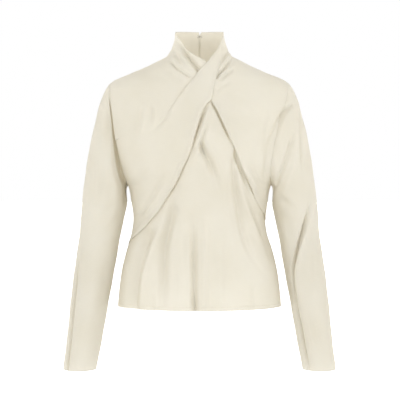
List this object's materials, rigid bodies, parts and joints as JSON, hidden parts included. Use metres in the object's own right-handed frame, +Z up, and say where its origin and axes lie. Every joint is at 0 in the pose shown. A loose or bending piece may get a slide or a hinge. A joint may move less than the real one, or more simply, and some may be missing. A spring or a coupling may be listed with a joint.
{
  "type": "high neck top",
  "caption": "Long-sleeved pullover top, filled out as worn, with a high neck, a strap of the front that crosses the throat, draped bust panels and a zipped back.",
  "frame": {"origin": "between the two neck points of the shoulders, on the mount worn_on_shoulders", "axes": "+Z up, -Y the front, +X to the right of someone who looks at the front"},
  "size_m": [0.5942, 0.252, 0.7422],
  "materials": {
    "satin": "cream satin-backed crepe, soft sheen",
    "thread": "cream sewing thread and woven zip tape",
    "enamel": "cream enamel on cast metal",
    "nickel": "bent nickel wire"
  },
  "bodies": {
    "garment": {"front_left": "satin", "front_right": "satin", "front_lower": "satin", "back_left": "satin", "back_right": "satin", "sleeve_left": "satin", "sleeve_right": "satin", "zip_slider": "enamel", "neck_hook": "nickel", "neck_eye": "nickel"},
    "pull": {"zip_pull": "enamel"}
  },
  "joints": [
    {"name": "pull_hinge", "type": "hinge", "parent": "garment", "child": "pull", "pos_m": [0, 0.06005, 0.03561], "axis": [1, 0, 0], "range_deg": [0, 150]}
  ]
}
